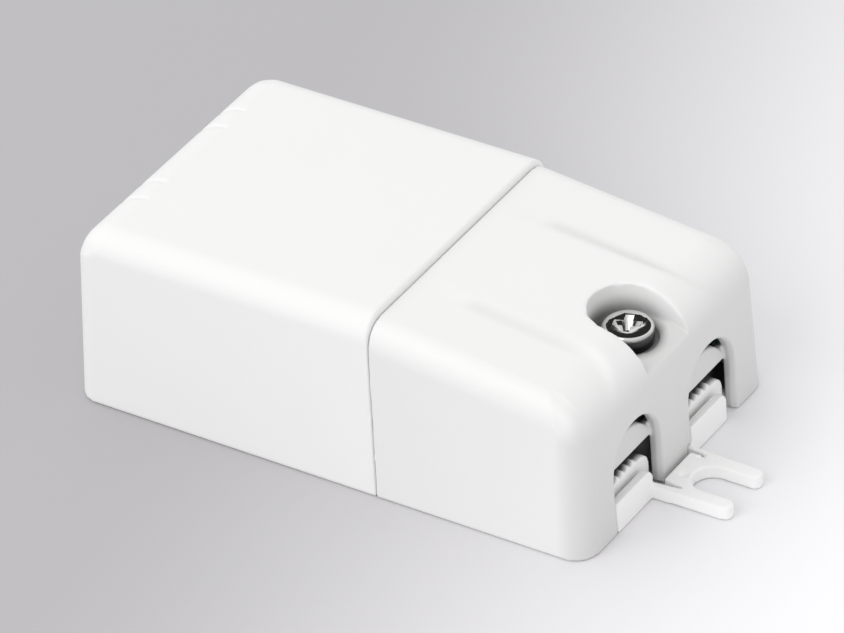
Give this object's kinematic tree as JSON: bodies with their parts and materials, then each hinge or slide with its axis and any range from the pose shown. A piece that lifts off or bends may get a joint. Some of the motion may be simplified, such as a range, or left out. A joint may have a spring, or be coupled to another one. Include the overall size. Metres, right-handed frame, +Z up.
{
  "type": "led dimmer module",
  "caption": "Small boxed dimmer for lamp circuits: smooth housing, sloped screwed terminal cover with arched cable entries and clamps, flat base with a slotted fixing fork.",
  "frame": {"origin": "centre of the bounding box at the flat bottom, fixing fork included", "axes": "+X from the closed end towards the cable entries and the fork, +Y across the width, +Z up from the flat bottom"},
  "size_m": [0.0752, 0.0386, 0.0222],
  "materials": {
    "housing_plastic": "satin white moulding",
    "cover_plastic": "satin white moulding",
    "base_plastic": "satin white moulding",
    "plated_screw": "bright nickel plating",
    "board_laminate": "green solder mask",
    "small_steel": "zinc plated",
    "terminal_plastic": "dark grey moulding",
    "terminal_metal": "tinned",
    "spreader_metal": "plain sheet",
    "black_epoxy": "black moulding",
    "can_sleeve": "dark blue sleeve",
    "ferrite": "coated ferrite",
    "enamelled_wire": "enamelled copper",
    "yellow_case": "yellow moulding",
    "blue_disc": "dipped coating",
    "fuse_case": "brown moulding",
    "white_package": "white moulding",
    "ceramic": "sintered ceramic"
  },
  "bodies": {
    "root": {"housing": "housing_plastic", "terminal_cover": "cover_plastic", "base": "base_plastic", "cover_screw": "plated_screw", "circuit_board": "board_laminate", "board_screws": "small_steel", "input_terminal": "terminal_plastic", "output_terminal": "terminal_plastic", "terminal_clamps": "terminal_metal", "terminal_screws": "terminal_metal", "heat_spreader": "spreader_metal", "power_transistors": "black_epoxy", "transistor_screws": "small_steel", "buffer_capacitor": "can_sleeve", "choke_core": "ferrite", "choke_winding": "enamelled_wire", "suppression_capacitor": "yellow_case", "varistor": "blue_disc", "fuse": "fuse_case", "supply_inductor": "ferrite", "bridge_rectifier": "black_epoxy", "optocoupler": "white_package", "controller_chip": "black_epoxy", "surface_parts": "ceramic"}
  },
  "joints": []
}
